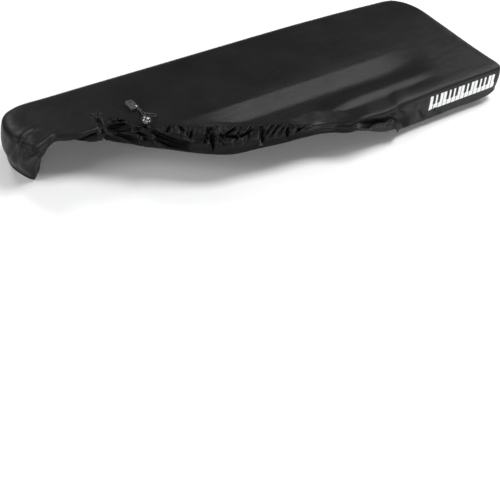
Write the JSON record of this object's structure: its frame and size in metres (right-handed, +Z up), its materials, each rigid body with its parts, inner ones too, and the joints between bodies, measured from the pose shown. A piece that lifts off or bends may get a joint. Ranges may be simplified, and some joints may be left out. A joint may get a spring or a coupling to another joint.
{
  "type": "keyboard dust cover",
  "caption": "Fitted stretch-cloth dust cover for a keyboard, with a gathered elastic hem and a drawcord lock, its front pushed back at the left and turned over on the top.",
  "frame": {"origin": "on the underside of the top cloth at mid-length and mid-depth, where the instrument holds the cover up", "axes": "+X along the cover to its square right end, +Y to its back, +Z up"},
  "size_m": [1.1658, 0.4111, 0.1265],
  "materials": {
    "cloth": "matte",
    "cord": "matte",
    "lock": "gloss",
    "end_piece": "satin",
    "metal": "satin"
  },
  "bodies": {
    "root": {"cover_cloth": "cloth", "cord_lock": "lock", "drawcord_a": "cord", "drawcord_b": "cord", "cord_end": "end_piece", "cord_ferrule": "metal"}
  },
  "joints": []
}
